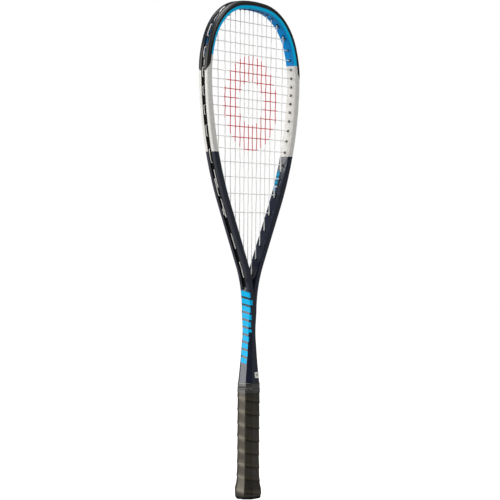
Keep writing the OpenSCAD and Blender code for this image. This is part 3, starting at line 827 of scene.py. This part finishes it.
def strip_piece(name, side, low, high, cad_node):
    obj = make(name, *strip(side, low, high))
    here = [(side, s) for s in half_holes if low < s < high]
    combine(obj, "pads", [pad(*h) for h in here], "UNION")
    combine(obj, "barrels", [barrel_body(*h) for h in here], "UNION")
    ties = [s for s in (main_tie, cross_tie_low) if low < s < high]
    cutters = [bore(*h) for h in here]
    cutters += [plug(side, s, HOLE_R, GROOVE_FLOOR - 1, STRIP_TOP + 1) for s in ties]
    combine(obj, "bores", cutters, "DIFFERENCE")
    even_normals(obj)
    dress(obj, GROMMET)
    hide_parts(cad_node)


for side, word in ((-1, "left"), (1, "right")):
    strip_piece(f"side_strip_{word}", side, *side_strip, f"side_grommets_{word}")
    strip_piece(f"throat_strip_{word}", side, *throat_strip, f"throat_grommets_{word}")

TIE_PROFILE = [(BORE_R, -MOUTH + 0.2), (1.12, -MOUTH), (1.36, -MOUTH + 0.05), (BARREL_R, -MOUTH + 0.22),
               (BARREL_R, STRIP_TOP - 0.12), (1.35, STRIP_TOP), (1.05, STRIP_TOP),
               (BORE_R, STRIP_TOP - 0.15)]
ties = [(-1, main_tie), (1, main_tie), (-1, cross_tie_high), (-1, cross_tie_low)]
tie_rings = [[circle_at(*tie, r, out) for r, out in TIE_PROFILE] for tie in ties]
grommets = make("tie_grommets", *together([skin(rings, len(rings)) for rings in tie_rings]))
dress(grommets, GROMMET)
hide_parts("tie_off_grommets")

# ---- Strings ----


def woven(i, k):
    z = cross_z[k]
    return beside(main_bottom[i], -BEND)[1] + 1.5 < z < beside(main_top[i], -BEND)[1] - 1.5


def weave_sign(i, k):
    return 1 if (i + k) % 2 == 0 else -1


def through_hole(side, s):
    """The string's straight way out through a barrel."""
    return [at_tube(side, s, out, 0) for out in (-BEND, -MOUTH + 0.6, 0, STRIP_TOP - 0.5)]


def loop_between(side, a, b, y):
    """The string's run along the channel between two holes."""
    turn = math.copysign(0.9, b - a)
    steps = max(2, math.ceil(abs(b - a) / 3))
    span = b - a - 2 * turn
    return [at_tube(side, a + turn + span * j / steps, LOOP_OFFSET, y) for j in range(steps + 1)]


def crown_loop(s, y):
    return loop_between(-1, 0.0, s, y)[::-1][:-1] + loop_between(1, 0.0, s, y)


def main_run(i):
    side = side_of(i)
    middle = [(side * main_x(i, cross_z[k]), MAIN_WEAVE * weave_sign(i, k), cross_z[k])
              for k in range(CROSSES, 0, -1) if woven(i, k)]
    return through_hole(side, main_bottom[i])[::-1] + middle + through_hole(side, main_top[i])


def main_link(i):
    if i % 2 == 1:
        return loop_between(side_of(i), main_bottom[i], main_bottom[i + 1], -LOOP_SIDE)
    if i == len(MAIN_HALF) - 1:
        return crown_loop(main_top[i], -LOOP_SIDE)
    return loop_between(side_of(i), main_top[i], main_top[i + 1], -LOOP_SIDE)


def string_end(side, tie, s, y):
    """From a knot out through its grommet and along the channel to the first hole."""
    out_through = [at_tube(side, tie, out, 0) for out in (-MOUTH - 1.2, 0, STRIP_TOP - 0.4)]
    return out_through + loop_between(side, tie, s, y)


def cross_run(k):
    s = cross_hole[k]
    middle = [(side_of(i) * main_x(i, cross_z[k]), -CROSS_WEAVE * weave_sign(i, k), cross_z[k])
              for i in range(MAINS) if woven(i, k)]
    return through_hole(-1, s)[::-1] + middle + through_hole(1, s)


main_path = string_end(-1, main_tie, main_bottom[0], -LOOP_SIDE)
for i in range(MAINS):
    main_path += main_run(i) if i % 2 == 0 else main_run(i)[::-1]
    main_path += main_link(i) if i < MAINS - 1 else []
main_path += string_end(1, main_tie, main_bottom[MAINS - 1], -LOOP_SIDE)[::-1]
cross_path = string_end(-1, cross_tie_high, cross_hole[1], LOOP_SIDE)
for k in range(1, CROSSES + 1):
    cross_path += cross_run(k) if k % 2 == 1 else cross_run(k)[::-1]
    if k < CROSSES:
        cross_path += loop_between(1 if k % 2 == 1 else -1, cross_hole[k], cross_hole[k + 1], LOOP_SIDE)
cross_path += string_end(-1, cross_tie_low, cross_hole[CROSSES], LOOP_SIDE)[::-1]


def rounded_path(points, step=1.6):
    """The path with a smooth wave between its points: straight in plan, eased in depth."""
    out = []
    for a, b in zip(points, points[1:]):
        a, b = np.array(a, float), np.array(b, float)
        n = max(1, math.ceil(np.linalg.norm(b - a) / step))
        for j in range(n):
            f = j / n
            q = a + (b - a) * f
            q[1] = a[1] + (b[1] - a[1]) * (1 - math.cos(math.pi * f)) / 2
            out.append(q)
    return out + [np.array(points[-1], float)]


def strand_ring(p, along, aside, r, sides):
    """A circle round a strand at p; aside is a direction that the strand doesn't run in."""
    along = along / np.linalg.norm(along)
    across = np.cross(along, aside)
    across /= np.linalg.norm(across)
    up = np.cross(across, along)
    turns = [2 * math.pi * j / sides for j in range(sides)]
    return [tuple(p + r * (math.cos(a) * across + math.sin(a) * up)) for a in turns]


def sweep(path, r, sides=10):
    last = len(path) - 1
    return loft([strand_ring(p, path[min(last, i + 1)] - path[max(0, i - 1)], (0.0, 1.0, 0.0), r, sides)
                 for i, p in enumerate(path)])


def knot(side, s):
    """A pulled overhand knot against a grommet's mouth."""
    x, z, h = pose(s)
    n, t = outward(h), onward(h)
    centre = np.array([x, z]) - (MOUTH + 1.75) * n
    steps, sides = 72, 8
    spread, spread_out, strand_r = 0.4, 0.62, 0.58
    line = []
    for i in range(steps):
        a = 2 * math.pi * i / steps
        u, v, w = (math.sin(a) + 2 * math.sin(2 * a), math.cos(a) - 2 * math.cos(2 * a), -math.sin(3 * a))
        q = centre + spread * u * t + spread_out * w * n
        line.append(np.array([side * q[0], spread * v, q[1]]))
    heart = np.array([side * centre[0], 0, centre[1]])
    rings = [strand_ring(p, line[(i + 1) % steps] - line[i - 1], p - heart, strand_r, sides)
             for i, p in enumerate(line)]
    return skin(rings, steps)


for name, path, knots, node in (("long_string", main_path, ties[:2], "main_string"),
                                ("cross_string_run", cross_path, ties[2:], "cross_string")):
    parts = [sweep(rounded_path(path), STRING_R)] + [knot(*at) for at in knots]
    piece = make(name, *together(parts), sharp=70)
    dress(piece, STRING)
    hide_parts(node)

# ---- Handle ----


def flare(z):
    """Share of the handle's extra girth left at a height: 1 at the tape, 0 on the slim shaft."""
    t = (z - FLARE_BOTTOM) / (FLARE_TOP - FLARE_BOTTOM)
    return (1 - max(0.0, min(1.0, t))) ** FLARE_POWER


def flare_section(z):
    """Width, depth and bevel of the painted handle at a height; its skin thins out at the top."""
    ease = flare(z)
    skin = FLARE_LIP * (1 - 0.93 * smooth((z - FLARE_TOP + 24) / 24))
    return (SHAFT_W + skin + ease * (PALLET_W + SHOULDER - SHAFT_W - FLARE_LIP),
            SHAFT_D + skin + ease * (PALLET_D + SHOULDER - SHAFT_D - FLARE_LIP),
            SHAFT_BEVEL + 0.3 * skin + ease * (BEVEL - 1 - SHAFT_BEVEL))


def handle_body():
    rings = [rounded_octagon(z, PALLET_W - 3, PALLET_D - 3, BEVEL - 2, 1.0) for z in (3.2, 21.9)]
    rings += [rounded_octagon(z, PALLET_W, PALLET_D, BEVEL - 1, 1.2) for z in (22.0, GRIP_TOP + 0.1)]
    for z in spaced(GRIP_TOP + 0.2, FLARE_BOTTOM, 3.4) + spaced(FLARE_BOTTOM + 2, FLARE_TOP, 2.5):
        w, d, b = flare_section(z)
        rings.append(rounded_octagon(z, w, d, b, 2.0 - 0.4 * (1 - flare(z))))
    return loft(rings)


body = make("handle_flare", *handle_body())
even_normals(body)
dress(body, PAINT)
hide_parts("pallet_front", "pallet_back")


def level_at(levels, z):
    """Interpolated (width, depth, bevel) at a height."""
    zs = [level[0] for level in levels]
    return tuple(float(np.interp(z, zs, [level[k] for level in levels])) for k in (1, 2, 3))


def girths(rows):
    """Levels (z, width, depth, bevel) from rows of height, growth over the grip, and bevel growth."""
    return [(z, GRIP_W + grow, GRIP_D + grow, BEVEL + bevel_grow) for z, grow, bevel_grow in rows]


CAP_LEVELS = girths([(0, 1.0, 0.4), (0.3, 2.0, 0.7), (0.8, 2.9, 0.9), (1.3, 3.45, 1.0), (1.8, 3.9, 1.1),
                     (2.3, 4.25, 1.2), (2.6, 4.4, 1.2), (CAP_RIM_Z, 4.3, 1.2)])
CAP_SKIRT = girths([(CAP_RIM_Z + 0.05, 1.6, 0.6), (9, 2.2, 0.7), (14, 0, 0.2), (21.9, -2 * GRIP_T, -1)])
CAP_RECESS = [(0.8, 17.0, 12.5, 4.0, 1.2), (0.75, 17.6, 13.0, 4.1, 1.2),
              (0.1, 19.0, 14.4, 4.5, 1.4), (0.0, 19.4, 14.8, 4.6, 1.4)]


def butt_cap():
    """The cap from the shallow recess in its end face, round the rim and up the skirt to its bore."""
    rings = [rounded_octagon(*level) for level in CAP_RECESS]
    rings += [rounded_octagon(z, w, d, b, 2.4) for z, w, d, b in CAP_LEVELS]
    rings += [rounded_octagon(z, w, d, b, 1.6) for z, w, d, b in CAP_SKIRT]
    bore_w, bore_d = PALLET_W - 2.9, PALLET_D - 2.9
    rings += [rounded_octagon(z, bore_w, bore_d, BEVEL - 2, 1.6) for z in (21.9, 3.1)]
    return loft(rings)


cap = make("butt_cap_shell", *butt_cap())
even_normals(cap)
dress(cap, CAP)
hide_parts("butt_cap")

GRIP_LEVELS = girths([(2.9, 4.6, 1.2), (3.6, 5.0, 1.3), (4.5, 5.3, 1.4), (6, 5.5, 1.5), (7.5, 5.6, 1.5),
                      (9.2, 5.65, 1.5), (11, 5.6, 1.5), (13, 5.4, 1.4), (15, 4.9, 1.3), (17.5, 4.05, 1.1),
                      (20, 3.1, 0.9), (23.5, 2.1, 0.6), (27, 1.35, 0.4), (33, 0.85, 0.25), (40, 0.5, 0.1),
                      (48, 0.2, 0), (56, 0, 0), (GRIP_TOP, 0, 0)])
GRIP_CORNER = 4.2


def octagon_walk(w, d, b, r):
    """Points round a rounded octagon from the middle of its +X wall, and their shares of its length."""
    ring = [(x, y) for x, y, _ in rounded_octagon(0, w, d, b, r, 6)]
    start = min(range(len(ring)), key=lambda i: (abs(math.atan2(ring[i][1], ring[i][0]) + 1e-6)
                                                 + (10 if ring[i][1] < 0 else 0)))
    ring = [(w / 2, 0.0)] + ring[start:] + ring[:start] + [(w / 2, 0.0)]
    pts = np.array(ring)
    along = np.concatenate([[0], np.cumsum(np.linalg.norm(np.diff(pts, axis=0), axis=1))])
    return pts, along / along[-1]


walks = {}


def grip_point(f, z, lift):
    """A point of the grip's outside at share f round it, at a height, lifted off the surface."""
    key = round(z, 2)
    if key not in walks:
        w, d, b = level_at(GRIP_LEVELS, z)
        walks[key] = octagon_walk(w, d, b, GRIP_CORNER)
    pts, share = walks[key]
    f = f % 1.0
    (x, y), ahead, behind = [np.array([np.interp(g % 1.0, share, pts[:, k]) for k in (0, 1)])
                             for g in (f, f + 0.004, f - 0.004)]
    tx, ty = ahead - behind
    size = math.hypot(tx, ty)
    return (x + lift * ty / size, y - lift * tx / size, z)


def seam_lift(b):
    """Height of the tape over its base across one turn: its lower edge lies on the turn below."""
    edge = 0.7 * math.exp(-b / 0.2)
    tuck = -0.45 * math.exp(-(1 - b) / 0.06)
    return edge + tuck - 0.2 + 0.06 * math.sin(math.pi * b)


ACROSS = [0.0, 0.012, 0.03, 0.06, 0.1] + [0.1 + 0.85 * j / 20 for j in range(1, 21)] + [0.975, 0.99, 1.0]


def grip_lift(b, z):
    """The tape's height above its section, pressed down at the butt cap and under the finishing tape."""
    from_cap = max(0.0, min(1.0, (z - GRIP_LOW) / 1.2))
    pressed = smooth((z - TAPE_BOTTOM + 1.0) / 0.9)
    return (seam_lift(b) - 0.35 * (1 - from_cap)) * (1 - pressed) - 0.32 * pressed


def grip_skin():
    """The wound tape as one closed skin: columns follow the winding, so every seam is a true edge."""
    turns = math.ceil((GRIP_HIGH - GRIP_LOW) / GRIP_PITCH) + 2
    rows = [(t, b) for t in range(-1, turns) for b in ACROSS]
    bm = bmesh.new()
    tape_uv = bm.loops.layers.uv.new("tape")
    layer = []
    for c in range(COLUMNS + 1):
        f = c / COLUMNS
        line = []
        for t, b in rows:
            z = GRIP_LOW + (t + b + SEAM_PHASE - f) * GRIP_PITCH
            z = min(max(z, GRIP_LOW), GRIP_HIGH)
            line.append(bm.verts.new([q * MM for q in grip_point(f, z, grip_lift(b, z))]))
        layer.append(line)
    girth = 2 * (GRIP_W + GRIP_D) - 8 * BEVEL * (1 - math.sqrt(0.5))
    for c in range(COLUMNS):
        for i in range(len(rows) - 1):
            face = bm.faces.new((layer[c][i], layer[c + 1][i], layer[c + 1][i + 1], layer[c][i + 1]))
            last_b = rows[i + 1][1] or 1.0
            corners = ((c, rows[i][1]), (c + 1, rows[i][1]), (c + 1, last_b), (c, last_b))
            for loop, (column, b) in zip(face.loops, corners):
                loop[tape_uv].uv = (column / COLUMNS * girth, b * GRIP_PITCH)
    bmesh.ops.remove_doubles(bm, verts=bm.verts, dist=2e-6)
    bmesh.ops.dissolve_degenerate(bm, edges=bm.edges, dist=2e-6)
    bmesh.ops.recalc_face_normals(bm, faces=bm.faces)
    mesh = bpy.data.meshes.new("grip_wrap")
    bm.to_mesh(mesh)
    bm.free()
    obj = show("grip_wrap", mesh)
    shade(obj, 50)
    return obj


wrap = grip_skin()
dress(wrap, GRIP)
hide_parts("grip")


def tape():
    """Two overlapping turns of tape: one round the grip's end, one above it on the paint."""
    on_grip = (GRIP_W - 0.5, GRIP_D - 0.5, BEVEL)
    on_paint = (PALLET_W + SHOULDER, PALLET_D + SHOULDER, BEVEL - 1)
    low, step, high = TAPE_BOTTOM, GRIP_TOP, TAPE_TOP
    outer = [(low, on_grip, 0.45), (low + 0.15, on_grip, 0.82), (low + 2, on_grip, 0.84),
             (low + 4.2, on_grip, 0.8), (step - 0.9, on_grip, 0.86), (step - 0.4, on_grip, 0.95),
             (step - 0.05, on_grip, 0.9), (step + 0.2, on_grip, 0.55), (step + 0.35, on_grip, 0.1),
             (step + 0.6, on_paint, 0.5), (step + 1.0, on_paint, 0.62), (step + 3.5, on_paint, 0.66),
             (high - 1.2, on_paint, 0.62), (high - 0.3, on_paint, 0.62), (high - 0.1, on_paint, 0.35)]
    inner = [(high - 0.1, on_paint, 0.1), (step + 0.3, on_paint, 0.1), (step - 0.1, on_grip, 0.0),
             (low, on_grip, 0.1)]
    rings = [rounded_octagon(z, w + grow, d + grow, b, 2.2, 6) for z, (w, d, b), grow in outer + inner]
    return loft(rings + rings[:1], False)


band = make("finishing_band", *tape())
dress(band, TAPE)
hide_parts("finishing_tape")

# ---- Label: a thin film with rounded lower corners on the front of the flare ----


def label():
    low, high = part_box("handle_label")
    x0, x1, z0, z1 = low.x / MM, high.x / MM, low.z / MM, high.z / MM
    outline = fillet([(x0, z0), (x1, z0), (x1, z1), (x0, z1)], [2.2, 2.2, 0.5, 0.5], [8, 8, 3, 3])
    cx, cz = (x0 + x1) / 2, (z0 + z1) / 2
    rings = []
    for lift, share in ((0.02, 1), (0.2, 1), (0.26, 0.988)):
        sized = [(cx + (x - cx) * share, cz + (z - cz) * share) for x, z in outline]
        rings.append([(x, -flare_section(z)[1] / 2 - lift, z) for x, z in sized])
    return loft(rings)


tag = make("blank_label", *label())
dress(tag, LABEL)
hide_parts("handle_label")

staple_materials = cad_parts["butt_cap_staples"].data.materials
staple_materials.clear()
staple_materials.append(STEEL)

# ---- Floor, light and camera ----

floor_mesh = bpy.data.meshes.new("floor")
FLOOR_REACH = 6.0
corners = [(x * FLOOR_REACH, y * FLOOR_REACH, 0) for x, y in ((-1, -1), (1, -1), (1, 1), (-1, 1))]
floor_mesh.from_pydata(corners, [], [(0, 1, 2, 3)])
floor = show("floor", floor_mesh)
pale = Paint("pale_floor", Roughness=0.9, Base_Color=(0.4, 0.4, 0.4, 1.0), Emission_Color=(1, 1, 1, 1))
pale.put(pale.shader.inputs["Emission Strength"], pale.node("ShaderNodeLightPath").outputs["Is Camera Ray"])
floor_mesh.materials.append(pale.mat)

world = bpy.data.worlds.new("studio")
bpy.context.scene.world = world
world.use_nodes = True
tree = world.node_tree
tree.nodes.clear()
add, link = tree.nodes.new, tree.links.new
out = add("ShaderNodeOutputWorld")
seen, soft = add("ShaderNodeBackground"), add("ShaderNodeBackground")
mixer, rays = add("ShaderNodeMixShader"), add("ShaderNodeLightPath")
seen.inputs[0].default_value = (1, 1, 1, 1)
soft.inputs[0].default_value = (0.97, 0.98, 1.0, 1)
soft.inputs[1].default_value = 0.08
link(rays.outputs["Is Camera Ray"], mixer.inputs[0])
link(soft.outputs[0], mixer.inputs[1])
link(seen.outputs[0], mixer.inputs[2])
link(mixer.outputs[0], out.inputs[0])


def softbox(name, at, size, power, colour=(1.0, 1.0, 1.0)):
    lamp = bpy.data.lights.new(name, "AREA")
    lamp.shape, lamp.size, lamp.size_y = "RECTANGLE", size[0], size[1]
    lamp.energy, lamp.color = power, colour
    obj = show(name, lamp)
    obj.location = at
    obj.rotation_euler = (LIGHTS_AIM - Vector(at)).to_track_quat("-Z", "Y").to_euler()


LIGHTS_AIM = Vector((0.0, 0.0, 0.4))
softbox("key_softbox", (-2.25, 0.95, 0.8), (2.4, 2.4), 74, colour=(1.0, 0.985, 0.96))
softbox("front_softbox", (0.3, -2.0, 2.5), (2.0, 1.2), 36)
softbox("right_softbox", (2.2, -1.5, 0.8), (1.2, 2.0), 0.8)
softbox("top_softbox", (0.1, 0.3, 2.9), (1.6, 1.6), 60)

FOCAL_PX, SENSOR_MM, PICTURE_PX = 1758.0, 36.0, 500.0
SHIFT_PX = (-0.75, 0.0)
YAW, PITCH_UP, ROLL = math.radians(52.47), math.radians(-0.27), math.radians(0.41)
CAMERA_AT = Vector((-1.9272, -1.4824, 0.3546))
forward = Vector((math.sin(YAW) * math.cos(PITCH_UP), math.cos(YAW) * math.cos(PITCH_UP),
                  math.sin(PITCH_UP)))
level = Vector((math.cos(YAW), -math.sin(YAW), 0.0))
upright = level.cross(forward)
right = math.cos(ROLL) * level + math.sin(ROLL) * upright
up = math.cos(ROLL) * upright - math.sin(ROLL) * level
lens = bpy.data.cameras.new("camera")
lens.sensor_width, lens.lens = SENSOR_MM, FOCAL_PX / PICTURE_PX * SENSOR_MM
lens.clip_end = 50
lens.shift_x, lens.shift_y = SHIFT_PX[0] / PICTURE_PX, SHIFT_PX[1] / PICTURE_PX
camera = show("camera", lens)
camera.matrix_world = Matrix((right, up, -forward)).transposed().to_4x4()
camera.location = CAMERA_AT
bpy.context.scene.camera = camera
bpy.context.scene.view_settings.view_transform = "Standard"

bpy.context.view_layer.update()
